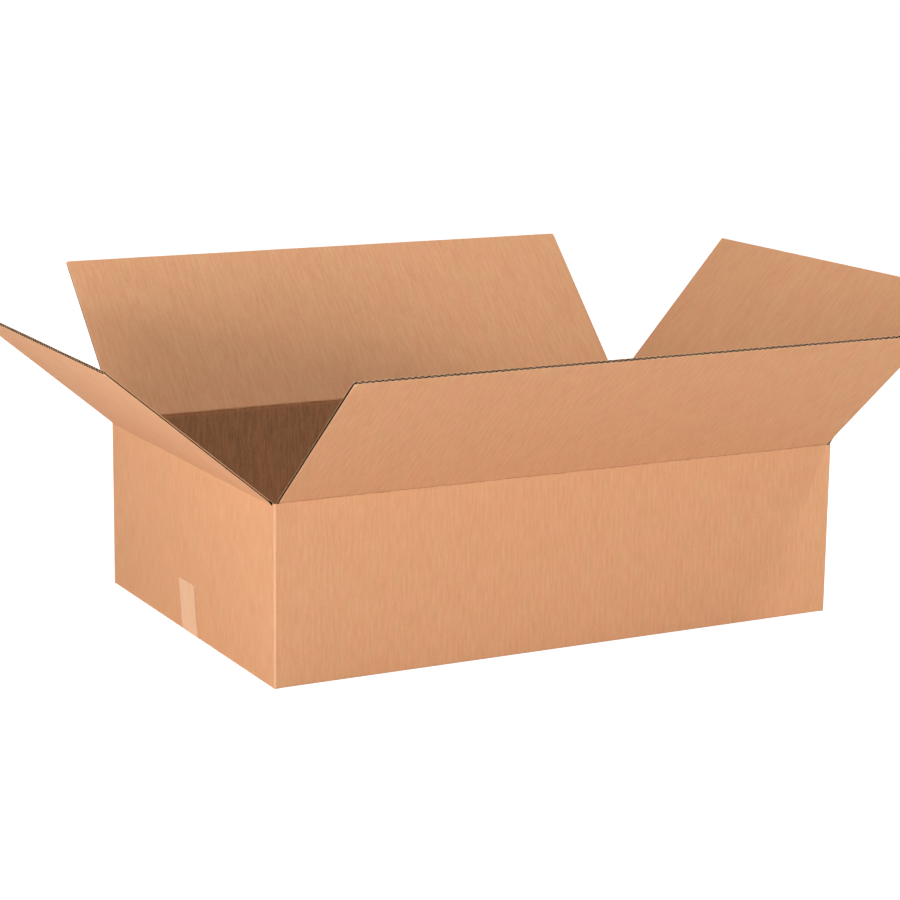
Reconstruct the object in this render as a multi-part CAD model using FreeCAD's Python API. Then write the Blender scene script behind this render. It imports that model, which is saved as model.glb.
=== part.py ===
import FreeCAD, Part
import math
import os

# An open corrugated shipping box, erected from one folded blank. Its bottom flaps are
# folded in and taped along the seam, and its four top flaps stand open.
# The origin is the centre of the base. +X runs along the long walls, +Y to the back
# wall and +Z up. All lengths are in millimetres and all angles in degrees.

# Inside sizes: between the short walls, between the long walls, and from the inner
# bottom flaps up to the inner top flaps when those are closed
inside_length = 762.0
inside_width = 508.0
inside_height = 203.0

# The board: its thickness, the pitch of its flutes, the two outer papers, the wavy
# paper between them, and how deep the open flutes are cut at a free edge
board = 4.0
flute_pitch = 7.8
liner = 0.45
medium = 0.5
mouth_depth = 12.0
side_groove = 2.4

# Cuts and folds: the slot between two flaps, the space left where two long flaps
# meet, the air between layers of board, and how far a slot runs past the long crease
slot_width = 8.0
seam_gap = 1.0
layer_gap = 0.3
slot_overrun = 1.0

# The strip that joins the two ends of the blank, glued inside the right wall
glue_tab_width = 35.0
glue_tab_clearance = 3.0
glue_tab_taper = 6.0
joint_fold_gap = 0.2

# A top flap turns about its crease, with this much air each side of the crease line
# and past each end of it
crease_gap = 0.15
crease_end_gap = 0.4

# How far each open flap leans outwards from upright
front_angle = 48.8
back_angle = 45.3
left_angle = 50.1
right_angle = 41.4

# The tape over the bottom seam: it runs a little off the seam, climbs both short
# walls, and its end on the left wall leans to the back
tape_width = 48.0
tape_thickness = 0.15
tape_climb = 66.0
tape_offset = -5.0
tape_lean = 9.0

# Sizes that follow from the ones above
length = inside_length + 2 * board
width = inside_width + 2 * board
flap_length = (width - seam_gap) / 2
slot_side = (slot_width + board) / 2
long_flap_width = length - 2 * slot_side
short_flap_width = width - 2 * slot_side
fold_radius = board

long_floor = tape_thickness
short_floor = long_floor + board + layer_gap
inner_floor = short_floor + board
short_crease = inner_floor + inside_height + board
long_crease = short_crease + layer_gap + board
slot_bottom = long_crease - slot_overrun
corner_foot = long_floor + slot_overrun

# A little more than any cut needs
spare = 5.0


def vector(x, y, z):
    return FreeCAD.Vector(x, y, z)


def prism(points, along):
    """The solid swept by a flat polygon along a vector."""
    outline = Part.makePolygon(points + [points[0]])
    return Part.Face(outline).extrude(along)


def box(low, high):
    """The block between two opposite corners."""
    size = [high[i] - low[i] for i in range(3)]
    return Part.makeBox(*size, vector(*low))


def fused(shapes):
    """One solid from several that meet."""
    whole = shapes[0].multiFuse(shapes[1:]).removeSplitter()
    return whole.Solids[0] if len(whole.Solids) == 1 else whole


def folded_profile(outer, floor, top, reach):
    """Section of a wall and the bottom flap folded from it, as (across, up) edges.

    outer is the wall's distance from the middle, floor the flap's underside, top the
    wall's upper end and reach the flap's free edge, as a distance from the middle.
    """
    bend = (outer - fold_radius, floor + fold_radius)
    diagonal = fold_radius * math.sqrt(0.5)
    start = vector(0, outer, bend[1])
    middle = vector(0, bend[0] + diagonal, bend[1] - diagonal)
    end = vector(0, bend[0], floor)
    corners = [
        end,
        vector(0, reach, floor),
        vector(0, reach, floor + board),
        vector(0, outer - board, floor + board),
        vector(0, outer - board, top),
        vector(0, outer, top),
        start,
    ]
    edges = [Part.LineSegment(a, b).toShape() for a, b in zip(corners, corners[1:])]
    edges.append(Part.Arc(start, middle, end).toShape())
    return Part.Face(Part.Wire(edges))


def folded_wall(outer, floor, top, span):
    """A wall on the +Y side with its bottom flap, span wide along X."""
    profile = folded_profile(outer, floor, top, outer - flap_length)
    profile.translate(vector(-span / 2, 0, 0))
    return profile.extrude(vector(span, 0, 0))


def turned(shape, degrees):
    """A copy turned about the vertical axis through the origin."""
    copy = shape.copy()
    copy.rotate(vector(0, 0, 0), vector(0, 0, 1), degrees)
    return copy


def tube(bottom, top):
    """The four walls as a closed tube, with rounded folds at three of its corners.

    The corner at the back right is square: there the right wall's raw end covers the
    fold of the glued strip.
    """
    size = vector(length, width, top - bottom)
    block = Part.makeBox(size.x, size.y, size.z, vector(-length / 2, -width / 2, bottom))
    folds = [
        edge
        for edge in block.Edges
        if abs(edge.Vertexes[0].Z - edge.Vertexes[-1].Z) > board
        and not (edge.Vertexes[0].X > 0 and edge.Vertexes[0].Y > 0)
    ]
    block = block.makeFillet(fold_radius, folds)
    inside = box(
        (-inside_length / 2, -inside_width / 2, bottom - spare),
        (inside_length / 2, inside_width / 2, top + spare),
    )
    return block.cut(inside)


def corner_blocks(bottom, top):
    """The four blocks that a slot takes up, between these heights."""
    low_x = long_flap_width / 2
    low_y = short_flap_width / 2
    block = box((low_x, low_y, bottom), (length / 2 + spare, width / 2 + spare, top))
    mirrored = [block]
    for normal in (vector(1, 0, 0), vector(0, 1, 0)):
        mirrored += [shape.mirror(vector(0, 0, 0), normal) for shape in mirrored]
    return Part.makeCompound(mirrored)


def crease_cutter(outer, crease, span):
    """Cuts the top of the wall on the +Y side down to a crease, with a 45 degree face
    inside, so that the flap can fold in."""
    top = long_crease + spare
    drop = board + spare
    start = -span / 2 - crease_end_gap
    points = [
        vector(start, outer + spare, crease - crease_gap + spare),
        vector(start, outer + spare, top + spare),
        vector(start, outer - drop, top + spare),
        vector(start, outer - drop, crease - crease_gap - drop),
    ]
    return prism(points, vector(-2 * start, 0, 0))


def glue_tab():
    """The strip folded from the back wall and glued to the inside of the right wall,
    tapered at both ends."""
    outer_x = inside_length / 2
    fold_y = inside_width / 2
    bottom = inner_floor + glue_tab_clearance
    top = short_crease - board - glue_tab_clearance
    points = [
        vector(outer_x - board, fold_y, bottom),
        vector(outer_x - board, fold_y - glue_tab_width, bottom + glue_tab_taper),
        vector(outer_x - board, fold_y - glue_tab_width, top - glue_tab_taper),
        vector(outer_x - board, fold_y, top),
    ]
    return prism(points, vector(board, 0, 0))


def joint_groove():
    """The groove outside the glued joint, between the back wall's fold and the raw
    end of the right wall."""
    low = vector(inside_length / 2 - board, inside_width / 2, 0)
    height = long_crease + spare
    corner = box(low, (inside_length / 2, width / 2 + spare, height))
    fold = Part.makeCylinder(board - joint_fold_gap, height, low)
    return corner.cut(fold)


def carton_body():
    """Four walls, their bottom flaps and the glued joint: one folded blank."""
    wall_top = long_crease
    walls = tube(short_floor + fold_radius, wall_top)
    feet = tube(corner_foot, short_floor + 2 * fold_radius)
    feet = feet.common(corner_blocks(corner_foot - spare, wall_top))
    shared_height = inner_floor + fold_radius
    long_wall = folded_wall(width / 2, long_floor, shared_height, long_flap_width)
    short_wall = folded_wall(length / 2, short_floor, shared_height, short_flap_width)
    folded = [long_wall, turned(long_wall, 180), turned(short_wall, 90), turned(short_wall, -90)]
    blank = fused([walls, feet, glue_tab()] + folded)

    long_top = crease_cutter(width / 2, long_crease, long_flap_width)
    short_top = crease_cutter(length / 2, short_crease, short_flap_width)
    cutters = [
        corner_blocks(slot_bottom, wall_top + spare),
        long_top,
        turned(long_top, 180),
        turned(short_top, 90),
        turned(short_top, -90),
        joint_groove(),
    ]
    for cutter in cutters:
        blank = blank.cut(cutter)
    return blank.removeSplitter()


def board_section(span):
    """Section of the board across its flutes: X along the crease, Y through the
    thickness. The flutes that the two side cuts opened are grooves."""
    half = span / 2
    middle = board / 2
    points = [
        vector(-half, 0, 0),
        vector(half, 0, 0),
        vector(half, liner, 0),
        vector(half - side_groove, middle, 0),
        vector(half, board - liner, 0),
        vector(half, board, 0),
        vector(-half, board, 0),
        vector(-half, board - liner, 0),
        vector(-half + side_groove, middle, 0),
        vector(-half, liner, 0),
    ]
    return points


def flute_mouths(span, top):
    """The open ends of the flutes along a free edge: three-sided channels that point
    up and down in turn between the two outer papers."""
    step = flute_pitch / 2
    clear_span = span - 2 * (side_groove + medium)
    count = int((clear_span - flute_pitch + 2 * medium) / step) + 1
    half_base = step - medium
    first = -(count - 1) * step / 2
    mouths = []
    for i in range(count):
        centre = first + i * step
        base = liner if i % 2 == 0 else board - liner
        tip = board - liner - medium if i % 2 == 0 else liner + medium
        triangle = [
            vector(centre - half_base, base, top - mouth_depth),
            vector(centre + half_base, base, top - mouth_depth),
            vector(centre, tip, top - mouth_depth),
        ]
        mouths.append(prism(triangle, vector(0, 0, mouth_depth + spare)))
    return Part.makeCompound(mouths)


def upright_flap(span):
    """A top flap standing straight up from its crease, which is the X axis, with its
    outer face on the plane y = 0."""
    plate = prism(board_section(span), vector(0, 0, flap_length))
    root = [
        vector(-span, -spare, -2 * spare),
        vector(-span, -spare, crease_gap - spare),
        vector(-span, board + spare, crease_gap + board + spare),
        vector(-span, board + spare, -2 * spare),
    ]
    plate = plate.cut(prism(root, vector(2 * span, 0, 0)))
    return plate.cut(flute_mouths(span, flap_length))


def open_flap(span, angle, facing, crease):
    """A top flap in its place: leaned outwards about the crease, then turned to the
    wall whose outward direction is facing degrees from -Y."""
    flap = upright_flap(span)
    flap.rotate(vector(0, 0, 0), vector(1, 0, 0), angle)
    distance = (width if facing % 180 == 0 else length) / 2
    flap.translate(vector(0, -distance, crease))
    return turned(flap, facing)


def tape_path(side):
    """Half of the tape's line on the board, from the middle of the base to its end on
    one short wall: flat, up past the edge of the long flaps, round the fold, up."""
    edge = (long_flap_width / 2, long_floor)
    centre = (length / 2 - fold_radius, short_floor + fold_radius)
    away = math.hypot(edge[0] - centre[0], edge[1] - centre[1])
    slope = math.atan2(edge[1] - centre[1], edge[0] - centre[0])
    touch = slope + math.acos(fold_radius / away)

    def on_fold(angle):
        x = centre[0] + fold_radius * math.cos(angle)
        return vector(side * x, 0, centre[1] + fold_radius * math.sin(angle))

    start = vector(0, 0, long_floor)
    corner = vector(side * edge[0], 0, edge[1])
    end = vector(side * length / 2, 0, tape_climb)
    return [
        Part.LineSegment(start, corner).toShape(),
        Part.LineSegment(corner, on_fold(touch)).toShape(),
        Part.Arc(on_fold(touch), on_fold(touch / 2), on_fold(0)).toShape(),
        Part.LineSegment(on_fold(0), end).toShape(),
    ]


def bottom_tape():
    """One strip of tape under the bottom seam and up both short walls."""
    path = Part.Wire(Part.sortEdges(tape_path(-1) + tape_path(1))[0])
    strip = path.makeOffset2D(tape_thickness, 2, True, True)
    reach = tape_width + abs(tape_lean) + abs(tape_offset)
    strip.translate(vector(0, -reach, 0))
    sheet = strip.extrude(vector(0, 2 * reach, 0))

    low = tape_offset - tape_width / 2
    high = tape_offset + tape_width / 2
    straight = box((-long_flap_width / 2, low, -spare), (length, high, tape_climb + spare))
    end = [
        vector(-length, low, -spare),
        vector(-length, high, -spare),
        vector(-length, high, long_floor),
        vector(-length, high + tape_lean, tape_climb),
        vector(-length, low + tape_lean, tape_climb),
        vector(-length, low, long_floor),
    ]
    leaning = prism(end, vector(length - long_flap_width / 2, 0, 0))
    return fused([sheet.common(straight), sheet.common(leaning)])


def all_parts():
    """Every separate piece of the box by its name."""
    return {
        "carton_body": carton_body(),
        "flap_front": open_flap(long_flap_width, front_angle, 0, long_crease),
        "flap_back": open_flap(long_flap_width, back_angle, 180, long_crease),
        "flap_right": open_flap(short_flap_width, right_angle, 90, short_crease),
        "flap_left": open_flap(short_flap_width, left_angle, 270, short_crease),
        "bottom_tape": bottom_tape(),
    }


os.makedirs("parts", exist_ok=True)
for name, shape in all_parts().items():
    shape.exportStep("parts/" + name + ".step")
    box_size = shape.BoundBox
    print(
        name,
        "solids", len(shape.Solids),
        "valid", shape.isValid(),
        "volume", round(shape.Volume / 1000.0, 1), "cm3",
        "x", round(box_size.XMin, 1), round(box_size.XMax, 1),
        "y", round(box_size.YMin, 1), round(box_size.YMax, 1),
        "z", round(box_size.ZMin, 2), round(box_size.ZMax, 1),
    )
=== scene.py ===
# %% [markdown]
# # An open corrugated box
#
# This lesson dresses a plain solid model of a shipping box. The real box is one flat
# blank of corrugated board: two papers with a wavy paper between them, slotted, creased,
# glued at one corner and folded. So the lesson makes the same thing in the same order.
# Each panel is made flat, with its waves, and is then folded into place by a formula.

# %% Load the fixed frame
import math

import bpy
import numpy as np
from mathutils import Matrix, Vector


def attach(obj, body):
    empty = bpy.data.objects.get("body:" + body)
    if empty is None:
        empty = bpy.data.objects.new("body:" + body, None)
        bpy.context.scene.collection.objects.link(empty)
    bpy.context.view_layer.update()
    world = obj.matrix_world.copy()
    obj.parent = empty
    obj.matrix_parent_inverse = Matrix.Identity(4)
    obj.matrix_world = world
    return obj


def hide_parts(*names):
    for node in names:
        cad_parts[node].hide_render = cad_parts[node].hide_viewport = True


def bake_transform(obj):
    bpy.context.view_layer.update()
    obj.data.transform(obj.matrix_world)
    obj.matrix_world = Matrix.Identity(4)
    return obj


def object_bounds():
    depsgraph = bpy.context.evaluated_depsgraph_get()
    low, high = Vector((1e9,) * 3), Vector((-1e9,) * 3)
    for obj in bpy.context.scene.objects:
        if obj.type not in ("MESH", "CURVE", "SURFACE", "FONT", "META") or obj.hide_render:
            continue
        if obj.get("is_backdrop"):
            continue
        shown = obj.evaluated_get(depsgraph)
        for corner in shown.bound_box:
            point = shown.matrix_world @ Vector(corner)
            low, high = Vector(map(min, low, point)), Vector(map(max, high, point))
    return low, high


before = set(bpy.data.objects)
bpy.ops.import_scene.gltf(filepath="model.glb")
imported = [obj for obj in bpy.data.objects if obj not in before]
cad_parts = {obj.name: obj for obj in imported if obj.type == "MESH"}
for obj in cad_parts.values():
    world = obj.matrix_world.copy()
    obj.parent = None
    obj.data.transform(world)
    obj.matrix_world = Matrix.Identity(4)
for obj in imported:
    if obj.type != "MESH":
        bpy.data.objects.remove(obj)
cad_low, cad_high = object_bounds()
print("box of the solid model", [round(v, 4) for v in (*cad_low, *cad_high)])

# %% [markdown]
# ## Sizes
#
# Blender works in metres here, so every size is written in millimetres and multiplied.
# They are the same sizes as in the solid model, which this file can't read.
#
# A place on the blank has three numbers: u across the flutes, v along them, and d, the
# depth from the outer paper. On a wall, v is the height above the ground.

# %% Sizes of the box
MM = 0.001

LENGTH = 770 * MM
WIDTH = 516 * MM
BOARD = 4 * MM
FOLD_RADIUS = 4 * MM
FLAP_LENGTH = 257.5 * MM
LONG_FLAP_WIDTH = 758 * MM
SHORT_FLAP_WIDTH = 504 * MM
LONG_FLOOR = 0.15 * MM
SHORT_FLOOR = 4.45 * MM
LONG_CREASE = 219.75 * MM
SHORT_CREASE = 215.45 * MM
SLOT_BOTTOM = 218.75 * MM
CORNER_FOOT = 1.15 * MM
GLUE_TAB_WIDTH = 35 * MM
GLUE_TAB_LOW = 11.45 * MM
GLUE_TAB_HIGH = 208.45 * MM
GLUE_TAB_TAPER = 6 * MM

# The developed length of a 90 degree fold, and how far below its crease a top flap's
# piece begins
FOLD_LENGTH = 4 * MM
ROOT = 8 * MM

# %% [markdown]
# ## The four walls
#
# All four walls obey the same rules, so each one is only a row of numbers: which way it
# faces, how far its outer face is from the middle, how wide its flaps are, where its
# creases are and how far its top flap leans out. The facing angle turns the front wall
# into the others. The blank's middle, u = 0, is the middle of the front wall, and the
# numbers of the others follow round the box, so that the paper runs on round a corner.
#
# The short bottom flaps lie on the long ones, so their folds begin higher. A sink presses
# the short walls' feet down to the ground again, and all four walls stand level.

# %% The walls as rows of numbers
def wall(facing, outer, flap_width, floor, sink, crease, lean, middle):
    return {
        "facing": math.radians(facing),
        "outer": outer,
        "flap_width": flap_width,
        "floor": floor,
        "sink": sink,
        "crease": crease,
        "lean": math.radians(lean),
        "middle": middle,
    }


LONG_STRAIGHT = LENGTH / 2 - FOLD_RADIUS
SHORT_STRAIGHT = WIDTH / 2 - FOLD_RADIUS
WALL_STEP = LONG_STRAIGHT + FOLD_LENGTH + SHORT_STRAIGHT

FLOOR_SINK = 5.2 * MM

LONG_WALL = (WIDTH / 2, LONG_FLAP_WIDTH, LONG_FLOOR, 0, LONG_CREASE)
SHORT_WALL = (LENGTH / 2, SHORT_FLAP_WIDTH, SHORT_FLOOR, FLOOR_SINK, SHORT_CREASE)
walls = {
    "front": wall(0, *LONG_WALL, lean=48.8, middle=0),
    "right": wall(90, *SHORT_WALL, lean=41.4, middle=WALL_STEP),
    "back": wall(180, *LONG_WALL, lean=45.3, middle=-2 * WALL_STEP),
    "left": wall(270, *SHORT_WALL, lean=50.1, middle=-WALL_STEP),
}
print("wall middles on the blank, mm", {n: round(w["middle"] / MM) for n, w in walls.items()})

# %% [markdown]
# ## The camera
#
# The photograph was taken with a long lens from the front left, a little above the box.
# The three angles, the place and the lens were fitted to the box's straight edges. A
# camera in Blender looks along its own -Z with +Y up, so the three columns of its matrix
# are its right, its up and its backward direction.

# %% Camera
SENSOR_WIDTH = 36.0
LENS = 102.858
CAMERA_PLACE = (-1538.14 * MM, -2838.40 * MM, 895.48 * MM)
CAMERA_YAW = -0.4901
CAMERA_PITCH = 0.2135
CAMERA_ROLL = 0.0129


def camera_matrix():
    """The camera's place and turn: level, turned by yaw, tipped down by pitch, rolled."""
    level = Matrix.Rotation(math.pi / 2, 4, "X")
    yaw = Matrix.Rotation(CAMERA_YAW, 4, "Z")
    pitch = Matrix.Rotation(-CAMERA_PITCH, 4, "X")
    roll = Matrix.Rotation(CAMERA_ROLL, 4, "Z")
    return Matrix.Translation(CAMERA_PLACE) @ yaw @ level @ pitch @ roll


camera_data = bpy.data.cameras.new("camera")
camera_data.sensor_fit = "HORIZONTAL"
camera_data.sensor_width = SENSOR_WIDTH
camera_data.lens = LENS
camera_data.clip_end = 100
camera = bpy.data.objects.new("camera", camera_data)
camera.matrix_world = camera_matrix()
bpy.context.scene.collection.objects.link(camera)
bpy.context.scene.camera = camera
print("camera looks along", [round(v, 3) for v in -camera.matrix_world.col[2].xyz])

# %% [markdown]
# ## Two helpers for node trees
#
# Materials and Geometry Nodes are both trees of nodes. One helper adds a node, sets its
# options and fills its inputs, either with a plain value or with a link from another
# node. The other does the same for one step of arithmetic.

# %% Node helpers
def node(tree, kind, inputs=None, **options):
    """Adds a node. An input's value is a number, a vector or another node's output."""
    made = tree.nodes.new(kind)
    for name, value in options.items():
        setattr(made, name, value)
    for key, value in (inputs or {}).items():
        if isinstance(value, bpy.types.NodeSocket):
            tree.links.new(value, made.inputs[key])
        else:
            made.inputs[key].default_value = value
    return made


def maths(tree, operation, *values):
    """One step of arithmetic, as the output of a Math node."""
    return node(tree, "ShaderNodeMath", dict(enumerate(values)), operation=operation).outputs[0]


# %% [markdown]
# ## Kraft paper
#
# The board's papers are brown, matt and slightly hairy. Seen close, the colour is never
# even: there are faint clouds, redder and yellower patches, fine streaks along the flutes
# and short fibres. Each of these is a noise texture read at its own scale, from the
# point's place on the flat blank, so the pattern bends with the board and runs on over
# creases. The flutes also show through as very faint lines, where a crest is glued on.
#
# The sides of the papers that face the flutes, and the wavy paper, are painted nearly black:
# this is painted shade in the flutes. Cut edges and folds are rubbed paler, and the pale line
# on the vertical corners is partly a painted highlight. A crease that the flap is bent back
# over is a thin, crooked, dark line: painted shade in the crease, partly darker pressed
# fibres. The mesh stores how far each point is from a cut and from a crease, and the
# material turns these distances into lines, which stay sharp however coarse the mesh is.
#
# Deep in the box, light goes from paper to paper and gets redder each time, more than it
# should. So the paper there, below the creases, is made darker and less red: painted shade
# inside the box.

# %% Kraft material
KRAFT_RED = (0.63, 0.297, 0.152, 1)
KRAFT_YELLOW = (0.605, 0.318, 0.15, 1)
KRAFT_PALE = (0.71, 0.38, 0.205, 1)
KRAFT_DARK = (0.53, 0.25, 0.119, 1)
# Painted shade in a crease, partly darker pressed fibres
KRAFT_CREASE_SHADE = (0.36, 0.16, 0.07, 1)
# Painted shade inside the box: the inner paper below the creases
KRAFT_INSIDE_SHADE = (0.27, 0.192, 0.105, 1)
# Painted shade in the flutes: nearly black on the papers' sides that face them and on the wavy
# paper
FLUTE_SHADE = (0.04, 0.02, 0.01, 1)
# Paler rubbed paper, also used as the painted highlight on the vertical corners
RUBBED_AND_HIGHLIGHT = (0.78, 0.47, 0.275, 1)
FLUTE_PITCH = 7.8 * MM

# How wide the lines are: the painted shade of a pressed crease, and a cut seen on a paper's face
# or its edge
CREASE_SHADE_WIDTH = 0.9 * MM
CREASE_DRIFT = 1.1 * MM
CUT_LINE = 0.7 * MM
CUT_FACE = 0.1 * MM

# The sizes of the paper's patterns: across the flutes, along them and through the board
CLOUDS = (30 * MM, 50 * MM, 9 * MM)
PATCHES = (21 * MM, 33 * MM, 7 * MM)
STREAKS = (2.6 * MM, 24 * MM, 9 * MM)
FIBRES = (0.9 * MM, 2.8 * MM, 9 * MM)
GRAIN = (0.5 * MM, 0.5 * MM, 0.5 * MM)
CROOKEDNESS = (9 * MM, 400 * MM, 400 * MM)


def noise(tree, place, sizes, detail=2.0, roughness=0.5):
    """Noise that repeats itself at about the given size in each direction of the blank."""
    shares = {0: place, 1: [1 / size for size in sizes]}
    scaled = node(tree, "ShaderNodeVectorMath", shares, operation="MULTIPLY").outputs[0]
    inputs = {"Vector": scaled, "Scale": 1.0, "Detail": detail, "Roughness": roughness}
    return node(tree, "ShaderNodeTexNoise", inputs).outputs["Fac"]


def blended(tree, share, first, second):
    """A mix of two colours. A Mix node keeps its colour inputs at 6 and 7."""
    inputs = {0: share, 6: first, 7: second}
    return node(tree, "ShaderNodeMix", inputs, data_type="RGBA").outputs[2]


def ranged(tree, value, low, high, new_low=0.0, new_high=1.0):
    inputs = {0: value, 1: low, 2: high, 3: new_low, 4: new_high}
    return node(tree, "ShaderNodeMapRange", inputs).outputs[0]


def new_material(name):
    material = bpy.data.materials.new(name)
    material.use_nodes = True
    tree = material.node_tree
    return material, tree, tree.nodes["Principled BSDF"]


def attribute(tree, name, output="Fac"):
    return node(tree, "ShaderNodeAttribute", attribute_name=name).outputs[output]


def line_share(tree, distance, reach):
    """1 on a line and 0 beyond its reach, with a soft edge."""
    share = maths(tree, "DIVIDE", maths(tree, "ABSOLUTE", distance), reach)
    inputs = {0: share, 1: 0.25, 2: 1.0, 3: 1.0, 4: 0.0}
    ramp = node(tree, "ShaderNodeMapRange", inputs, interpolation_type="SMOOTHSTEP")
    return ramp.outputs[0]


def kraft_material():
    material, tree, surface = new_material("kraft_paper")
    place = attribute(tree, "board", "Vector")
    across, along, depth = node(tree, "ShaderNodeSeparateXYZ", {0: place}).outputs
    from_middle = maths(tree, "ABSOLUTE", maths(tree, "SUBTRACT", depth, BOARD / 2))
    open_side = ranged(tree, from_middle, BOARD / 2 - 0.3 * MM, BOARD / 2 - 0.15 * MM)
    inner_side = ranged(tree, depth, BOARD / 2, BOARD * 3 / 4)
    below_crease = ranged(tree, along, LONG_CREASE, SHORT_CREASE)
    inside_shade = maths(tree, "MULTIPLY", inner_side, below_crease)

    clouds = noise(tree, place, CLOUDS, detail=3)
    patches = noise(tree, place, PATCHES)
    streaks = noise(tree, place, STREAKS, detail=3, roughness=0.55)
    fibres = noise(tree, place, FIBRES, detail=3, roughness=0.6)
    flute_turn = maths(tree, "MULTIPLY", across, 2 * math.pi / FLUTE_PITCH)
    flutes = maths(tree, "MULTIPLY_ADD", maths(tree, "SINE", flute_turn), 0.5, 0.5)

    colour = blended(tree, ranged(tree, patches, 0.38, 0.62), KRAFT_RED, KRAFT_YELLOW)
    # Painted shade inside the box, on the inner paper below the creases
    colour = blended(tree, inside_shade, colour, KRAFT_INSIDE_SHADE)
    colour = blended(tree, ranged(tree, clouds, 0.35, 0.65, 0.15, 0.33), colour, KRAFT_DARK)
    colour = blended(tree, ranged(tree, streaks, 0.38, 0.62, 0.0, 0.48), colour, KRAFT_PALE)
    colour = blended(tree, maths(tree, "MULTIPLY", flutes, 0.14), colour, KRAFT_DARK)
    colour = blended(tree, ranged(tree, fibres, 0.4, 0.75, 0.0, 0.6), colour, KRAFT_PALE)
    # Painted shade in the flutes: everything but the board's two outer faces is made nearly black
    colour = blended(tree, open_side, FLUTE_SHADE, colour)

    crooked = noise(tree, place, CROOKEDNESS, detail=3, roughness=0.6)
    drift = ranged(tree, crooked, 0.0, 1.0, -CREASE_DRIFT, CREASE_DRIFT)
    crease = maths(tree, "ADD", attribute(tree, "crease"), drift)
    broken = ranged(tree, crooked, 0.3, 0.7, 0.5, 1.0)
    crease_shade = maths(tree, "MULTIPLY", attribute(tree, "crease_shade"), broken)
    # Painted shade along the top crease, partly darker pressed fibres
    crease_shade_line = maths(tree, "MULTIPLY", line_share(tree, crease, CREASE_SHADE_WIDTH), crease_shade)
    colour = blended(tree, crease_shade_line, colour, KRAFT_CREASE_SHADE)

    ragged = ranged(tree, fibres, 0.3, 0.7, 0.5, 1.0)
    cut_distance = attribute(tree, "cut")
    cut_reach = ranged(tree, open_side, 0.0, 1.0, CUT_FACE, CUT_LINE)
    cut = maths(tree, "MULTIPLY", line_share(tree, cut_distance, cut_reach), ragged)
    # Rubbed paper, and the painted highlight on the vertical corners
    rubbed_and_highlight = maths(tree, "MULTIPLY", attribute(tree, "wear_and_highlight"), ragged)
    colour = blended(tree, maths(tree, "MAXIMUM", cut, rubbed_and_highlight), colour, RUBBED_AND_HIGHLIGHT)
    tree.links.new(colour, surface.inputs["Base Color"])

    roughness = ranged(tree, clouds, 0.3, 0.7, 0.74, 0.86)
    tree.links.new(roughness, surface.inputs["Roughness"])
    surface.inputs["Specular IOR Level"].default_value = 0.3

    grain = noise(tree, place, GRAIN)
    height = maths(tree, "ADD", maths(tree, "MULTIPLY", fibres, 0.7), grain)
    bump_inputs = {"Height": height, "Strength": 0.3, "Distance": 0.08 * MM}
    bump = node(tree, "ShaderNodeBump", bump_inputs)
    tree.links.new(bump.outputs[0], surface.inputs["Normal"])
    return material


kraft = kraft_material()
print("material", kraft.name, "with", len(kraft.node_tree.nodes), "nodes")

# %% [markdown]
# ## Corrugated board, flat
#
# The board is two flat papers and a wavy one. The wave is what everyone knows cardboard
# by, and it shows wherever the board is cut across it, so it is made as real geometry.
# It is also a rule that repeats hundreds of times, which is what Geometry Nodes are for.
#
# Each paper is a Cube node with many vertices, because a cube is closed on all sides, and
# Set Position then moves its points. The wavy paper follows a sine. The flat ones sink a
# little between the crests that they are glued to, as real board does: that is the
# washboard that can be felt with a finger. Rows of points crowd towards v = 0, where the
# board will be folded, by a power of their distance.

# %% Tree for one flat panel
panel_tree = bpy.data.node_groups.new("corrugated_panel", "GeometryNodeTree")
panel_tree.interface.new_socket("Geometry", in_out="OUTPUT", socket_type="NodeSocketGeometry")

PANEL_INPUTS = {
    "Middle": ("NodeSocketFloat", 0.0),
    "Width": ("NodeSocketFloat", 0.1),
    "Below": ("NodeSocketFloat", 0.05),
    "Above": ("NodeSocketFloat", 0.05),
    "Crowding": ("NodeSocketFloat", 2.2),
    "Rows": ("NodeSocketInt", 30),
    "Fluting rows": ("NodeSocketInt", 12),
    "Steps": ("NodeSocketInt", 4),
    "Fluting steps": ("NodeSocketInt", 8),
    "Thickness": ("NodeSocketFloat", BOARD),
    "Paper": ("NodeSocketFloat", 0.35 * MM),
    "Fluting paper": ("NodeSocketFloat", 0.3 * MM),
    "Flute pitch": ("NodeSocketFloat", FLUTE_PITCH),
    "Washboard": ("NodeSocketFloat", 0.09 * MM),
    "Fluting inset": ("NodeSocketFloat", 0.0),
    "Outer paper": ("NodeSocketBool", True),
    "Wavy paper": ("NodeSocketBool", True),
    "Inner paper": ("NodeSocketBool", True),
    "Material": ("NodeSocketMaterial", None),
}
panel_sockets = {}
for name, (kind, value) in PANEL_INPUTS.items():
    socket = panel_tree.interface.new_socket(name, in_out="INPUT", socket_type=kind)
    if value is not None:
        socket.default_value = value
    panel_sockets[name] = socket.identifier
print("panel tree has", len(panel_sockets), "named inputs")

# %% [markdown]
# The same few nodes make each of the three papers. Only the number of rows and steps, the
# paper's own thickness and the depth of its middle differ, so a helper adds them. A Switch
# lets a paper through or not, because at a crease the inner paper is a piece of its own.
# The wavy paper can be inset: where a blade cuts along the flutes, the flat papers' edges
# stand free on both sides of a dark gap.

# %% One paper of the panel
panel_in = panel_tree.nodes.new("NodeGroupInput").outputs


def row_place(tree, y, crowding):
    """Crowds evenly spaced rows towards zero, on both sides of it."""
    size = maths(tree, "POWER", maths(tree, "ABSOLUTE", y), crowding)
    return maths(tree, "MULTIPLY", maths(tree, "SIGN", y), size)


def flute_wave(tree, u):
    """The sine of the flutes at a place across the board."""
    turns = maths(tree, "DIVIDE", u, panel_in["Flute pitch"])
    return maths(tree, "SINE", maths(tree, "MULTIPLY", turns, 2 * math.pi))


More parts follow.
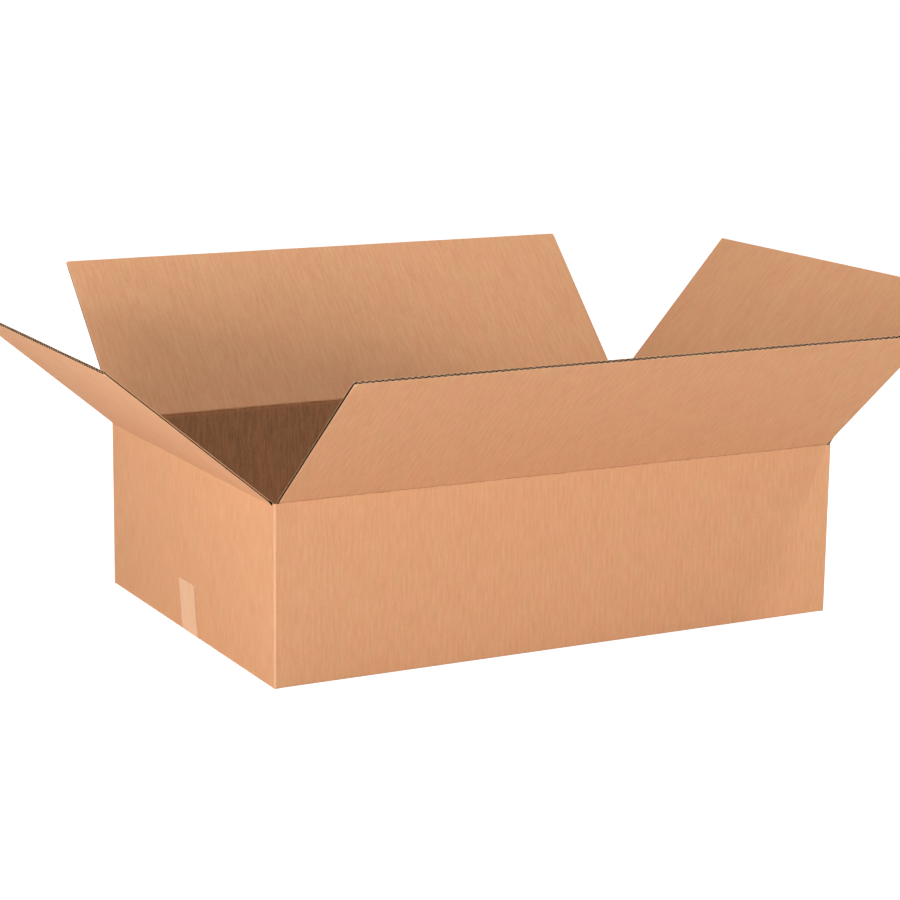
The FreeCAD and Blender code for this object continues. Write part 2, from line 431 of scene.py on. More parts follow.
def paper_sheet(tree, wanted, inset, steps, rows, paper, depth_of):
    """A closed sheet over the whole panel. depth_of gives its middle depth from the wave."""
    root = maths(tree, "DIVIDE", 1.0, panel_in["Crowding"])
    low = maths(tree, "POWER", panel_in["Below"], root)
    high = maths(tree, "POWER", panel_in["Above"], root)
    width = maths(tree, "MULTIPLY_ADD", inset, -2.0, panel_in["Width"])
    flutes = maths(tree, "DIVIDE", width, panel_in["Flute pitch"])
    columns = maths(tree, "ROUND", maths(tree, "MULTIPLY", flutes, steps))
    size = node(
        tree,
        "ShaderNodeCombineXYZ",
        {0: width, 1: maths(tree, "ADD", low, high), 2: paper},
    )
    cube = node(
        tree,
        "GeometryNodeMeshCube",
        {
            "Size": size.outputs[0],
            "Vertices X": maths(tree, "ADD", columns, 1.0),
            "Vertices Y": maths(tree, "ADD", rows, 1.0),
            "Vertices Z": 2,
        },
    )
    place = node(tree, "GeometryNodeInputPosition").outputs[0]
    xyz = node(tree, "ShaderNodeSeparateXYZ", {0: place}).outputs
    u = maths(tree, "ADD", xyz[0], panel_in["Middle"])
    shift = maths(tree, "MULTIPLY", maths(tree, "SUBTRACT", high, low), 0.5)
    v = row_place(tree, maths(tree, "ADD", xyz[1], shift), panel_in["Crowding"])
    d = maths(tree, "ADD", xyz[2], depth_of(flute_wave(tree, u)))
    moved = node(
        tree,
        "GeometryNodeSetPosition",
        {
            "Geometry": cube.outputs["Mesh"],
            "Position": node(tree, "ShaderNodeCombineXYZ", {0: u, 1: v, 2: d}).outputs[0],
        },
    )
    gate = {"Switch": wanted, "True": moved.outputs[0]}
    return node(tree, "GeometryNodeSwitch", gate, input_type="GEOMETRY").outputs[0]


# %% [markdown]
# The outer paper sinks where the wave is far from it, the inner paper where the wave is
# far from that, and the wavy paper swings between the two.

# %% Three papers joined
def sag(tree, towards):
    """How far a flat paper sinks: most where the wave is on the board's other side."""
    swing = maths(tree, "MULTIPLY_ADD", towards, 0.5, 0.5)
    return maths(tree, "MULTIPLY", swing, panel_in["Washboard"])


def outer_depth(wave):
    half = maths(panel_tree, "MULTIPLY", panel_in["Paper"], 0.5)
    return maths(panel_tree, "ADD", half, sag(panel_tree, wave))


def inner_depth(wave):
    half = maths(panel_tree, "MULTIPLY", panel_in["Paper"], 0.5)
    against = maths(panel_tree, "MULTIPLY", wave, -1.0)
    middle = maths(panel_tree, "SUBTRACT", panel_in["Thickness"], half)
    return maths(panel_tree, "SUBTRACT", middle, sag(panel_tree, against))


def fluting_depth(wave):
    papers = maths(panel_tree, "MULTIPLY_ADD", panel_in["Paper"], 2.0, panel_in["Fluting paper"])
    room = maths(panel_tree, "SUBTRACT", panel_in["Thickness"], papers)
    swing = maths(panel_tree, "MULTIPLY", maths(panel_tree, "MULTIPLY", room, 0.5), wave)
    return maths(panel_tree, "MULTIPLY_ADD", panel_in["Thickness"], 0.5, swing)


flat = (0.0, panel_in["Steps"], panel_in["Rows"], panel_in["Paper"])
wavy = (
    panel_in["Fluting inset"],
    panel_in["Fluting steps"],
    panel_in["Fluting rows"],
    panel_in["Fluting paper"],
)
papers = {
    "Outer paper": (*flat, outer_depth),
    "Wavy paper": (*wavy, fluting_depth),
    "Inner paper": (*flat, inner_depth),
}
joined = node(panel_tree, "GeometryNodeJoinGeometry")
for wanted, sizes in papers.items():
    sheet = paper_sheet(panel_tree, panel_in[wanted], *sizes)
    panel_tree.links.new(sheet, joined.inputs[0])
realized = node(panel_tree, "GeometryNodeRealizeInstances", {0: joined.outputs[0]})
painted = node(
    panel_tree,
    "GeometryNodeSetMaterial",
    {"Geometry": realized.outputs[0], "Material": panel_in["Material"]},
)
panel_out = panel_tree.nodes.new("NodeGroupOutput")
panel_tree.links.new(painted.outputs[0], panel_out.inputs[0])
print("panel tree has", len(panel_tree.nodes), "nodes")

# %% [markdown]
# A modifier runs the tree. Its inputs are set by each socket's identifier before Blender
# looks at the object for the first time, and the result becomes a plain mesh whose points
# are places (u, v, d) on the flat blank. Depth counts inwards, so folding will mirror the
# mesh, as a glove is turned inside out. Its faces are flipped here to end up outwards.

# %% Running the tree
def flat_panel(name, **sizes):
    """A flat panel as a plain mesh, ready to be folded."""
    carrier = bpy.data.objects.new(name, bpy.data.meshes.new(name))
    bpy.context.scene.collection.objects.link(carrier)
    modifier = carrier.modifiers.new("board", "NODES")
    modifier.node_group = panel_tree
    modifier[panel_sockets["Material"]] = kraft
    for key, value in sizes.items():
        modifier[panel_sockets[key.replace("_", " ")]] = value
    evaluated = carrier.evaluated_get(bpy.context.evaluated_depsgraph_get())
    mesh = bpy.data.meshes.new_from_object(evaluated)
    mesh.flip_normals()
    bpy.data.objects.remove(carrier)
    return mesh


def points_of(mesh):
    places = np.empty(3 * len(mesh.vertices))
    mesh.vertices.foreach_get("co", places)
    return places.reshape(-1, 3)


# %% [markdown]
# ## Folding
#
# Folding is a formula that takes a place on the flat blank to a place in the room. Each
# wall's own section is enough: how far outwards and how far up a point goes.
#
# A bottom fold is round outside, because the outer paper is pulled round the crushed
# board. On a short wall it sinks past the ends of the long bottom flaps, and its own flap
# climbs over them.
#
# A top crease is different: the flap hangs on its outer paper, so the crease line lies on
# the outer face, and the board is pressed thin on both sides of it. The two slopes inside
# then close like a book when the flap is shut, which is why the board doesn't cut into
# itself in any pose. The inner paper is the long way round: it is stretched over the open
# crease in one smooth curve at its full distance.

# %% Fold formulas
# The board inside a fold is crushed by this share of its depth
FOLD_CRUSH = 0.15
FOLD_CRUSH_REACH = 3 * MM

# A corner is folded sharper than a circle: its middle stands out by this share
TIGHT_FOLD = 0.22

# The web at a top crease: its thickness and its bend's reach, and the air in its shut fold
PRESSED = 0.9 * MM
CREASE_AIR = 0.15 * MM

# How far to each side of a top crease the inner paper bends
STRETCH = 1.2 * MM

# How far the long flaps' ends stand back, and over what lengths a short wall's sink fades
SLOT_DEPTH = (LENGTH - LONG_FLAP_WIDTH) / 2
SINK_SLOPE = 5 * MM
SINK_HEIGHT = 60 * MM


def smooth(t):
    t = np.clip(t, 0, 1)
    return t * t * (3 - 2 * t)


def bump_at(x, width):
    """A bell shape, 1 at x = 0."""
    return np.exp(-((x / width) ** 2))


def folded_in(wall, v, d):
    """Section of a wall and its bottom flap. v is measured from the middle of the fold."""
    half = FOLD_LENGTH / 2
    angle = np.clip((half - v) / FOLD_LENGTH, 0, 1) * math.pi / 2
    radius = FOLD_RADIUS - d * (1 - FOLD_CRUSH * bump_at(v, FOLD_CRUSH_REACH))
    past = np.maximum(-v - half, 0)
    out = wall["outer"] - FOLD_RADIUS + radius * np.cos(angle) - past
    up = wall["floor"] + FOLD_RADIUS - radius * np.sin(angle) + np.maximum(v - half, 0)
    behind_face = FOLD_RADIUS * (1 - np.cos(angle)) + past
    past_slot = smooth((SLOT_DEPTH - behind_face) / SINK_SLOPE)
    fading_up = 1 - smooth((v - half) / SINK_HEIGHT)
    return out, up - wall["sink"] * past_slot * fading_up


def folded_out(wall, v, d, reach):
    """Section of a top flap that bends within its reach. v is measured from its crease."""
    angle = wall["lean"] * smooth((v + reach) / (2 * reach))
    out = wall["outer"] + v * np.sin(angle) - d * np.cos(angle)
    up = wall["crease"] + v * np.cos(angle) + d * np.sin(angle)
    return out, up


def pressed_thin(v, d):
    """Depth in the board near a top crease, where the board is crushed to a thin web."""
    return d * np.clip(np.abs(v) - CREASE_AIR, PRESSED, BOARD) / BOARD


def folded_round(outer, straight, s, d):
    """Plan of a corner at a wall's left end: along the wall, round, and on behind it."""
    angle = np.clip((-straight - s) / FOLD_LENGTH, 0, 1) * math.pi / 2
    radius = FOLD_RADIUS * (1 + TIGHT_FOLD * np.sin(2 * angle) ** 2)
    radius = radius - d * (1 - FOLD_CRUSH * np.sin(2 * angle))
    along = -straight + np.maximum(s + straight, 0) - radius * np.sin(angle)
    behind = np.maximum(-straight - FOLD_LENGTH - s, 0)
    out = outer - FOLD_RADIUS + radius * np.cos(angle) - behind
    return along, out


def turned(wall, along, out, up):
    """From a wall's own directions to the room's: the front wall looks along -Y."""
    cos, sin = math.cos(wall["facing"]), math.sin(wall["facing"])
    return np.stack([along * cos + out * sin, along * sin - out * cos, up], 1)


# %% [markdown]
# ## Relief
#
# No real panel is quite flat. Walls belly out by a millimetre between their folds, and
# every sheet has slow waves left from the flat stack that it was stored in. The relief is
# a few sines of the place on the blank. It fades out at folds, so neighbours still meet.

# %% Relief of the panels
BELLY = 1.3 * MM
SLOW_WAVE = 0.35 * MM


def slow_waves(u, v):
    first = np.sin(u / (61 * MM) + 1.7 * np.sin(v / (90 * MM)))
    second = np.sin(v / (47 * MM) + u / (133 * MM) + 0.8)
    return SLOW_WAVE * (0.6 * first + 0.4 * second)


def panel_relief(u, v, share_across, share_along):
    """Outward relief. The shares go from 0 to 1 from one fold or edge to the other."""
    fade = np.sin(math.pi * np.clip(share_across, 0, 1)) ** 0.6
    fade = fade * np.sin(math.pi * np.clip(share_along, 0, 1)) ** 0.8
    return fade * (BELLY + slow_waves(u, v))


def wall_relief(wall, along, height):
    """How far a wall's outer face stands out at a place on it."""
    low = wall["floor"] + FOLD_RADIUS
    share_along = (height - low) / (wall["crease"] - ROOT - low)
    share_across = along / wall["flap_width"] + 0.5
    return panel_relief(wall["middle"] + along, height, share_across, share_along)


# %% [markdown]
# ## Finishing a mesh
#
# After folding, a panel keeps its flat places as an attribute, which the kraft paper
# reads. Four more say where the paper is rubbed or carries a painted highlight, how far the
# nearest cut and the top crease are, and how dark the painted shade along that crease is.
# Edges sharper than 40 degrees stay sharp and the rest is shaded smooth.

# %% Mesh helpers
FAR = 1.0
SHARP_ANGLE = math.radians(40)


def finished(mesh, flat_places, room_places, wear_and_highlight, cut=FAR, crease=FAR, crease_shade=0.0):
    """Moves a mesh's points into the room and stores what the material reads."""
    board = mesh.attributes.new("board", "FLOAT_VECTOR", "POINT")
    board.data.foreach_set("vector", flat_places.astype(np.float32).ravel())
    for name, values in (("wear_and_highlight", wear_and_highlight), ("cut", cut), ("crease", crease), ("crease_shade", crease_shade)):
        stored = mesh.attributes.new(name, "FLOAT", "POINT")
        spread = np.broadcast_to(values, len(mesh.vertices)).astype(np.float32)
        stored.data.foreach_set("value", spread)
    mesh.vertices.foreach_set("co", room_places.astype(np.float32).ravel())
    mesh.update()
    mesh.shade_smooth()
    mesh.set_sharp_from_angle(angle=SHARP_ANGLE)
    return mesh


def piece_from(name, meshes):
    """One object from several meshes, joined with their attributes."""
    parts = [bpy.data.objects.new(name, mesh) for mesh in meshes]
    for part in parts:
        bpy.context.scene.collection.objects.link(part)
    with bpy.context.temp_override(
        active_object=parts[0], object=parts[0], selected_editable_objects=parts
    ):
        if len(parts) > 1:
            bpy.ops.object.join()
    parts[0].name = name
    triangles = sum(len(p.vertices) - 2 for p in parts[0].data.polygons)
    print(name, "has", triangles, "triangles")
    return parts[0]


# %% [markdown]
# ## Walls and bottom flaps
#
# Between two slots, a wall and its bottom flap are one strip of board with one fold. It
# ends a little below the top crease, where the top flap's piece takes over. Narrow strips
# make the four corners, one of which goes on as the tab that is glued inside. At that
# corner the right wall simply ends, and its raw edge shows from the back.

# %% Wall and bottom flap of one side
BOTTOM_WEAR = 0.3
BOTTOM_WEAR_REACH = 2 * MM
# A pale line on each vertical corner: partly rubbed paper, partly painted highlight
CORNER_HIGHLIGHT_AND_WEAR = 0.9
CORNER_HIGHLIGHT_REACH = 0.6 * MM

# How much of the flat wall on each side of a corner belongs to the corner's strip
CORNER_MARGIN = 2 * MM


def near(distance, reach):
    """1 at a distance of 0 or less, falling to 0 beyond its reach."""
    return bump_at(np.maximum(distance, 0), reach)


def lower_panel(name, left_cut=0.0):
    """A wall with its bottom flap. left_cut shortens it at its left end."""
    wall = walls[name]
    width = wall["flap_width"] - left_cut
    high = wall["crease"] - ROOT - wall["floor"] - FOLD_RADIUS + FOLD_LENGTH / 2
    low = FLAP_LENGTH - FOLD_RADIUS + FOLD_LENGTH / 2
    mesh = flat_panel(
        name,
        Middle=wall["middle"] + left_cut / 2,
        Width=width,
        Below=low,
        Above=high,
        Rows=26,
        Fluting_rows=12,
        Steps=4,
        Fluting_steps=8,
    )
    u, v, d = points_of(mesh).T
    along = u - wall["middle"]
    height = v + wall["floor"] + FOLD_RADIUS - FOLD_LENGTH / 2
    relief = wall_relief(wall, along, height)
    out, up = folded_in(wall, v, d - relief)
    flat_places = np.stack([u, height, d], 1)
    slots = width / 2 - np.abs(u - wall["middle"] - left_cut / 2)
    cut = np.where(v < -FOLD_LENGTH, np.minimum(slots, v + low), FAR)
    wear_and_highlight = BOTTOM_WEAR * near(np.abs(v), BOTTOM_WEAR_REACH)
    return finished(mesh, flat_places, turned(wall, along, out, up), wear_and_highlight, cut)


# %% Corner strips, glued tab and raw end
def corner_strip(name, straight, start, end, low, high, taper=0.0):
    """A strip round the corner at a wall's left end, between two places along it."""
    wall = walls[name]
    mesh = flat_panel(
        name + "_corner",
        Middle=wall["middle"] + (start + end) / 2,
        Width=abs(end - start),
        Below=0.0,
        Above=high - low,
        Crowding=1.0,
        Rows=6,
        Fluting_rows=4,
        Steps=12,
        Fluting_steps=12,
    )
    u, v, d = points_of(mesh).T
    s = u - wall["middle"]
    along, out = folded_round(wall["outer"], straight, s, d)
    height = low + v
    if taper:
        past = np.clip((-straight - FOLD_LENGTH - s) / GLUE_TAB_WIDTH, 0, 1)
        height = height + taper * past * (1 - 2 * v / (high - low))
    # The pale corner line: partly rubbed paper, partly painted highlight
    wear_and_highlight = CORNER_HIGHLIGHT_AND_WEAR * near(np.abs(s + straight + FOLD_LENGTH / 2), CORNER_HIGHLIGHT_REACH)
    flat_places = np.stack([u, low + v, d], 1)
    room_places = turned(wall, along, out, height)
    return finished(mesh, flat_places, room_places, wear_and_highlight, np.minimum(v, high - low - v))


def all_corners():
    strips = []
    for name, straight in (
        ("front", LONG_STRAIGHT),
        ("right", SHORT_STRAIGHT),
        ("left", SHORT_STRAIGHT),
    ):
        start = -straight - FOLD_LENGTH - CORNER_MARGIN
        end = -walls[name]["flap_width"] / 2
        strips.append(corner_strip(name, straight, start, end, CORNER_FOOT, SLOT_BOTTOM))
    glued = LONG_STRAIGHT - BOARD
    fold_end = -glued - FOLD_LENGTH
    strips.append(corner_strip("back", glued, fold_end, -glued, CORNER_FOOT, SLOT_BOTTOM))
    tab_end = fold_end - GLUE_TAB_WIDTH
    strips.append(
        corner_strip("back", glued, tab_end, fold_end, GLUE_TAB_LOW, GLUE_TAB_HIGH, GLUE_TAB_TAPER)
    )
    return strips


def raw_end():
    """The last few millimetres of the right wall, past its slot, cut off square."""
    wall = walls["right"]
    start = wall["flap_width"] / 2
    end = WIDTH / 2
    mesh = flat_panel(
        "raw_end",
        Middle=wall["middle"] + (start + end) / 2,
        Width=end - start,
        Below=0.0,
        Above=SLOT_BOTTOM - CORNER_FOOT,
        Crowding=1.0,
        Rows=6,
        Fluting_rows=4,
        Steps=8,
        Fluting_steps=12,
    )
    u, v, d = points_of(mesh).T
    along = u - wall["middle"]
    room = turned(wall, along, wall["outer"] - d, CORNER_FOOT + v)
    flat_places = np.stack([u, CORNER_FOOT + v, d], 1)
    cut = np.minimum(end - along, SLOT_BOTTOM - CORNER_FOOT - v)
    return finished(mesh, flat_places, room, 0.0, cut)


# %% [markdown]
# The real box is one sheet, but a mesh of over 200,000 triangles is hard to handle. So
# the front, the back and the two short sides with the corners are three objects. They
# ride on the same body and stand for the same solid.

# %% Pieces of the box
BOX_PIECES = {
    "box_front": [lower_panel("front")],
    "box_back": [lower_panel("back", left_cut=CORNER_MARGIN)],
    "box_sides": [lower_panel("right"), lower_panel("left"), *all_corners(), raw_end()],
}
for name, meshes in BOX_PIECES.items():
    piece = piece_from(name, meshes)
    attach(piece, "carton")
    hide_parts("carton_body")

# %% [markdown]
# ## Top flaps
#
# Each top flap is one strip of board from just below its crease to its free edge. The
# crease line itself lies on the hinge.
#
# The outer paper and the flutes bend within a millimetre of the hinge. The inner paper
# lies a board's thickness away from it and needs more room to turn, so it is a piece of
# its own with a longer blend. Where the board is pressed thin, the two part a little.
#
# The open flap pinches the outer paper at its crease into a small, slightly wandering
# furrow. The cutter crushed the flutes' mouths a little along the free edge. It also
# frayed the wavy paper, whose fuzzy edge looks thicker than it is, so it is made thicker.
# The slotting blades crushed the sides, some to half of the board's thickness.

# %% Shape of a top flap
FURROW = 0.45 * MM
FURROW_REACH = 1.1 * MM
WANDER = 0.3 * MM
WANDER_REACH = 2.5 * MM
EDGE_CRUSH = 0.12
EDGE_CRUSH_REACH = 5 * MM
SIDE_CRUSH_REACH = 3 * MM
FRAYED_FLUTING = 0.7 * MM
CUT_INSET = 3 * MM

# How nearly the stretched inner paper is folded to a sharp corner, from 0 to 1
CORNER_SHARPNESS = 0.85


def wander(u):
    """A crease line's drift up and down, as a share of its greatest."""
    slow = np.sin(u / (23 * MM) + 2 * np.sin(u / (71 * MM)))
    quick = np.sin(u / (7.3 * MM))
    return 0.6 * slow + 0.4 * quick


def flap_depth(u, v, d, along, width, side_crush):
    """Depth in a flap: its sheet is a little wavy, and its cut edges are crushed thinner."""
    relief = panel_relief(u, v, along / width + 0.5, v / FLAP_LENGTH)
    uneven = 0.6 + 0.4 * np.sin(u / (31 * MM))
    edge = near(FLAP_LENGTH - v, EDGE_CRUSH_REACH) * uneven
    side = near(width / 2 - np.abs(along), SIDE_CRUSH_REACH) * smooth(v / (10 * MM))
    crush = np.maximum(EDGE_CRUSH * edge, side_crush * side)
    return BOARD / 2 + (d - BOARD / 2) * (1 - crush) + 0.5 * relief


def board_section(wall, u, v, depth, furrow):
    """Outer paper and flutes: pressed thin at the crease, with the furrow outside."""
    depth = pressed_thin(v, depth)
    pinch = furrow * bump_at(v, FURROW_REACH) * (0.75 + 0.25 * np.sin(u / (11 * MM)))
    return folded_out(wall, v, depth + pinch * (1 - depth / BOARD), PRESSED)


def lining_section(wall, u, v, depth, furrow):
    """Inner paper: stretched over the crease, nearly to a sharp corner."""
    turn = wall["lean"] * smooth((v + STRETCH) / (2 * STRETCH))
    sharp = 1 / np.cos(np.minimum(turn, wall["lean"] - turn)) - 1
    return folded_out(wall, v, depth * (1 + CORNER_SHARPNESS * sharp), STRETCH)


# %% Pieces of a top flap
BOARD_BEND = 1.2 * MM
LINING_BEND = 5.2 * MM
FLAP_LAYERS = {
    "board": (34, {"Inner_paper": False}, board_section, BOARD_BEND),
    "lining": (60, {"Outer_paper": False, "Wavy_paper": False}, lining_section, LINING_BEND),
}


def hang_flap(piece, name):
    """Bakes a flap's piece in place and hides the solid model's flap that it stands for."""
    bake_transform(piece)
    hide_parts("flap_" + name)


def top_flap(name, furrow, crease_shade, side_crush):
    wall = walls[name]
    for layer, (rows, papers, section, reach) in FLAP_LAYERS.items():
        mesh = flat_panel(
            f"{name}_flap_{layer}",
            Middle=wall["middle"],
            Width=wall["flap_width"],
            Below=ROOT,
            Above=FLAP_LENGTH,
            Rows=rows,
            Fluting_rows=16,
            Fluting_inset=CUT_INSET,
            Fluting_paper=FRAYED_FLUTING,
            **papers,
        )
        u, v, d = points_of(mesh).T
        along = u - wall["middle"]
        depth = flap_depth(u, v, d, along, wall["flap_width"], side_crush)
        out, up = section(wall, u, v, depth, furrow)
        up = up + WANDER * wander(u) * bump_at(v, WANDER_REACH)
        flat_places = np.stack([u, v + wall["crease"], d], 1)
        cut = np.minimum(wall["flap_width"] / 2 - np.abs(along), FLAP_LENGTH - v)
        finished(mesh, flat_places, turned(wall, along, out, up), 0.0, cut, v, crease_shade)
        hang_flap(piece_from(f"{name}_flap_{layer}", [mesh]), name)


# The third number is how dark the painted shade along each flap's crease is
top_flap("front", FURROW, crease_shade=0.9, side_crush=0.15)
top_flap("back", FURROW * 0.6, crease_shade=0.8, side_crush=0.5)
top_flap("left", FURROW * 0.4, crease_shade=0.2, side_crush=0.6)
top_flap("right", FURROW * 0.4, crease_shade=0.2, side_crush=0.5)

# %% [markdown]
# ## The carton tape
#
# One strip of clear tape closes the bottom seam and climbs both short walls. It is far
# thinner than the board, slightly shiny, and makes the paper under it look a bit lighter
# and warmer. A toothed blade cut its ends. It is a grid that follows the box's section,
# with its own thickness, and both ends get teeth by moving every second column.

# %% Tape material
TAPE_COLOUR = (0.68, 0.37, 0.175, 1)
TAPE_DARK = (0.62, 0.325, 0.15, 1)
TAPE_STREAKS = (3 * MM, 40 * MM, 9 * MM)
TAPE_WRINKLES = (9 * MM, 14 * MM, 9 * MM)


def tape_material():
    material, tree, surface = new_material("carton_tape")
    place = attribute(tree, "board", "Vector")
    streaks = noise(tree, place, TAPE_STREAKS, detail=3)
    wrinkles = noise(tree, place, TAPE_WRINKLES, roughness=0.4)
    colour = blended(tree, ranged(tree, streaks, 0.35, 0.7), TAPE_COLOUR, TAPE_DARK)
    tree.links.new(colour, surface.inputs["Base Color"])
    tree.links.new(ranged(tree, wrinkles, 0.3, 0.7, 0.3, 0.45), surface.inputs["Roughness"])
    surface.inputs["Coat Weight"].default_value = 0.15
    surface.inputs["Coat Roughness"].default_value = 0.25
    bump_inputs = {"Height": wrinkles, "Strength": 0.3, "Distance": 0.4 * MM}
    bump = node(tree, "ShaderNodeBump", bump_inputs)
    tree.links.new(bump.outputs[0], surface.inputs["Normal"])
    return material


tape_finish = tape_material()

# %% Tape strip
TAPE_WIDTH = 48 * MM
TAPE_THICKNESS = 0.15 * MM
TAPE_CLIMB = 66 * MM
TAPE_OFFSET = -5 * MM
TAPE_LEAN = 9 * MM
TAPE_TOOTH = 0.5 * MM
TAPE_LIFT = 0.12 * MM

# How far the tape's bend reaches inwards and upwards
TAPE_FOLD = np.array([1.8, 3.2]) * MM

# Rows of points along the base, round the bend and up the wall, and columns across
BASE_ROWS = 40
FOLD_ROWS = 7
CLIMB_ROWS = 26
TAPE_COLUMNS = 61


def tape_section():
    """Half of the tape's path on the box, as (outwards, up, direction out of the box)."""
    centre = np.array([LENGTH / 2, LONG_FLOOR]) + TAPE_FOLD * (-1, 1)
    rows = [(x, LONG_FLOOR, -math.pi / 2) for x in np.linspace(0, centre[0], BASE_ROWS)]
    for angle in np.linspace(-math.pi / 2, 0, FOLD_ROWS)[1:]:
        place = centre + TAPE_FOLD * (math.cos(angle), math.sin(angle))
        rows.append((place[0], place[1], angle))
    rows += [(LENGTH / 2, z, 0.0) for z in np.linspace(centre[1], TAPE_CLIMB, CLIMB_ROWS)[1:]]
    return np.array(rows)


def tape_lift(side, along, z, climb):
    """How far the tape stands out from a short wall's plane, on the wall's own relief."""
    wall = walls["left" if side < 0 else "right"]
    unsunk = z + FLOOR_SINK * (1 - smooth(z / SINK_HEIGHT))
    return wall_relief(wall, side * along, unsunk) + TAPE_LIFT * smooth(climb * 5)


def strip_faces(rows, columns):
    """Faces of a closed strip whose points are numbered by layer, row and column."""

    def at(layer, i, j):
        return (layer * rows + i) * columns + j

    faces = []
    for i in range(rows - 1):
        for j in range(columns - 1):
            quad = [(i, j), (i, j + 1), (i + 1, j + 1), (i + 1, j)]
            faces.append([at(1, *corner) for corner in quad])
            faces.append([at(0, *corner) for corner in reversed(quad)])
        for j, order in ((0, 1), (columns - 1, -1)):
            side = [at(0, i, j), at(1, i, j), at(1, i + 1, j), at(0, i + 1, j)]
            faces.append(side[::order])
    for j in range(columns - 1):
        for i, order in ((0, -1), (rows - 1, 1)):
            end = [at(0, i, j), at(1, i, j), at(1, i, j + 1), at(0, i, j + 1)]
            faces.append(end[::order])
    return faces


def tape_mesh():
    half = tape_section()
    section = np.vstack([half[::-1] * (-1, 1, 1), half[1:]])
    side = np.repeat([-1, 1], [len(half), len(half) - 1])
    across = np.linspace(-TAPE_WIDTH / 2, TAPE_WIDTH / 2, TAPE_COLUMNS)
    normal = np.stack([side * np.cos(section[:, 2]), np.sin(section[:, 2])], 1)
    length = np.concatenate([[0], np.cumsum(np.hypot(*np.diff(section[:, :2], axis=0).T))])
    places = []
    flat_places = []
    for thickness in (0.0, TAPE_THICKNESS):
        for i, (x, z, _) in enumerate(section):
            climb = max(z - LONG_FLOOR, 0) / TAPE_CLIMB
            lean = TAPE_LEAN * climb if side[i] < 0 else 0.0
            on_wall = abs(x) > LENGTH / 2 - TAPE_THICKNESS / 2
            at_end = i in (0, len(section) - 1)
            for j, across_place in enumerate(across):
                y = TAPE_OFFSET + across_place + lean
                tooth = TAPE_TOOTH * (j % 2) if at_end else 0.0
                lift = thickness + (tape_lift(side[i], y, z, climb) if on_wall else 0.0)
                places.append((x + normal[i, 0] * lift, y, z + normal[i, 1] * lift - tooth))
                flat_places.append((across_place, length[i], thickness))
    mesh = bpy.data.meshes.new("carton_tape_strip")
    mesh.from_pydata(places, [], strip_faces(len(section), TAPE_COLUMNS))
    mesh.materials.append(tape_finish)
    return finished(mesh, np.array(flat_places), np.array(places), 0.0)


tape = piece_from("carton_tape_strip", [tape_mesh()])
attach(tape, "carton")
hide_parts("bottom_tape")

# %% [markdown]
# ## The studio
#
# The photograph is a plain packshot: soft light from the front left, low enough that the
# inside of the box stays dark, and a floor so bright that it is lost in the background.
# A small high lamp on the right does one more thing that the photograph shows: the front
# flap cuts off its light, which leaves a soft diagonal at the front wall's right end.
#
# The floor and the surroundings look white to the camera, to glossy and to clear rays,
# and the floor still shows the box's shadow, because its own shading is added on top.

# %% Floor and surroundings
def seen_directly(tree):
    """1 for rays that show the background: from the camera, by a mirror or through glass."""
    path = node(tree, "ShaderNodeLightPath").outputs
    seen = maths(tree, "MAXIMUM", path["Is Camera Ray"], path["Is Glossy Ray"])
    return maths(tree, "MAXIMUM", seen, path["Is Transmission Ray"])


WHITE = (1, 1, 1, 1)
FLOOR_SIZE = 30.0
FLOOR_COLOUR = (0.72, 0.72, 0.72, 1)
FLOOR_GLOW = 0.93
AMBIENT = 0.1

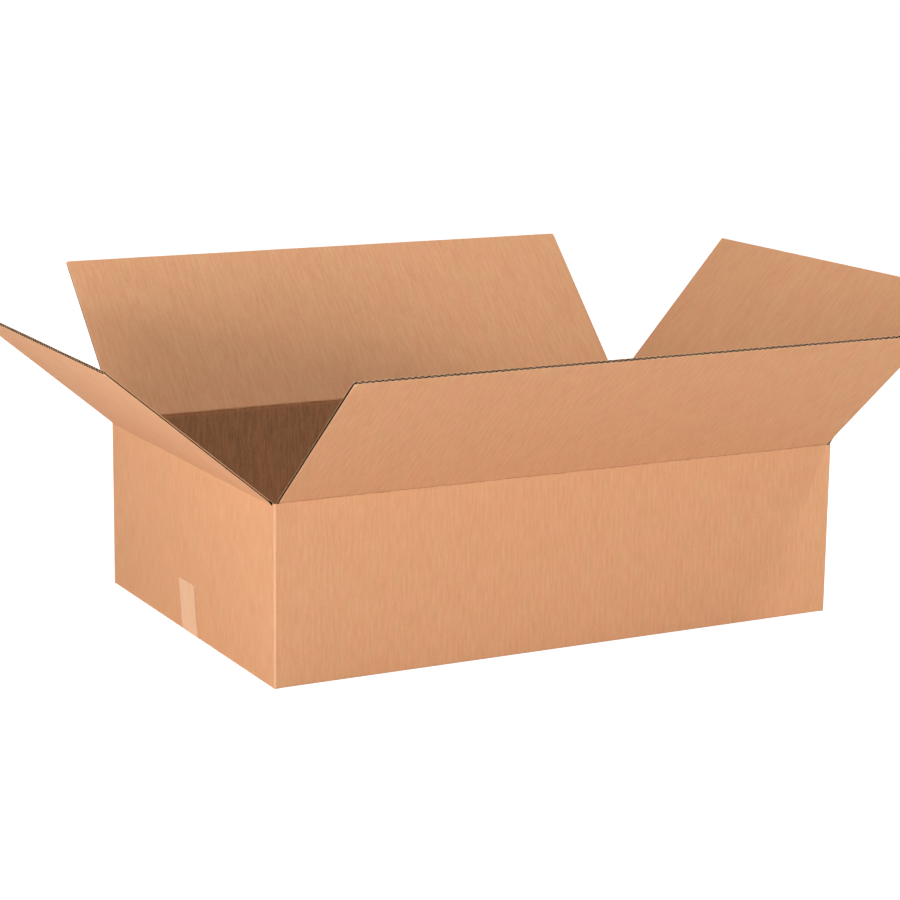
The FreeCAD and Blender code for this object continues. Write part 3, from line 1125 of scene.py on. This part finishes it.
corner = FLOOR_SIZE / 2
floor_mesh = bpy.data.meshes.new("floor")
floor_mesh.from_pydata(
    [(-corner, -corner, 0), (corner, -corner, 0), (corner, corner, 0), (-corner, corner, 0)],
    [],
    [(0, 1, 2, 3)],
)
floor = bpy.data.objects.new("floor", floor_mesh)
bpy.context.scene.collection.objects.link(floor)
floor_material, floor_tree, floor_surface = new_material("white_floor")
floor_surface.inputs["Base Color"].default_value = FLOOR_COLOUR
floor_surface.inputs["Roughness"].default_value = 1.0
floor_surface.inputs["Specular IOR Level"].default_value = 0.0
floor_surface.inputs["Emission Color"].default_value = WHITE
glow = maths(floor_tree, "MULTIPLY", seen_directly(floor_tree), FLOOR_GLOW)
floor_tree.links.new(glow, floor_surface.inputs["Emission Strength"])
floor_mesh.materials.append(floor_material)
floor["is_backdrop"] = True

world = bpy.data.worlds.new("studio")
world.use_nodes = True
bpy.context.scene.world = world
background = world.node_tree.nodes["Background"]
background.inputs["Color"].default_value = WHITE
strength = ranged(world.node_tree, seen_directly(world.node_tree), 0, 1, AMBIENT, 1.0)
world.node_tree.links.new(strength, background.inputs["Strength"])

# %% Lamps
LAMP_TARGET = (0.0, 0.0, 0.2)
LAMP_DISTANCE = 3.4

# For each lamp: azimuth and elevation in degrees, width and height in metres, and power
# in watts. Azimuth 0 is in front of the box and -90 on its left. All of them are white.
LAMPS = {
    "low_left": (-98, 6, 1.7, 0.8, 15.5),
    "low_front_left": (-62, 6, 1.7, 0.8, 74),
    "low_right": (18, 6, 1.7, 0.8, 44),
    "high_right": (40, 57, 0.5, 0.5, 29),
    "top": (0, 88, 1.7, 1.6, 46),
}


def add_lamp(name, azimuth, elevation, width, height, power):
    """A soft rectangular lamp that faces the box."""
    data = bpy.data.lights.new(name, "AREA")
    data.shape = "RECTANGLE"
    data.size = width
    data.size_y = height
    data.energy = power
    lamp = bpy.data.objects.new(name, data)
    a, e = math.radians(azimuth), math.radians(elevation)
    turn = Matrix.Rotation(a, 4, "Z") @ Matrix.Rotation(math.pi / 2 - e, 4, "X")
    away = Matrix.Translation((0, 0, LAMP_DISTANCE))
    lamp.matrix_world = Matrix.Translation(LAMP_TARGET) @ turn @ away
    bpy.context.scene.collection.objects.link(lamp)
    return lamp


for name, values in LAMPS.items():
    add_lamp(name, *values)

bpy.context.scene.view_settings.view_transform = "Standard"

# %% Sizes and finish
low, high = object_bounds()
sizes = {
    "cad": [list(cad_low), list(cad_high)],
    "visual": [list(low), list(high)],
}
print("box of the dressed model", [round(v, 4) for v in (*low, *high)])
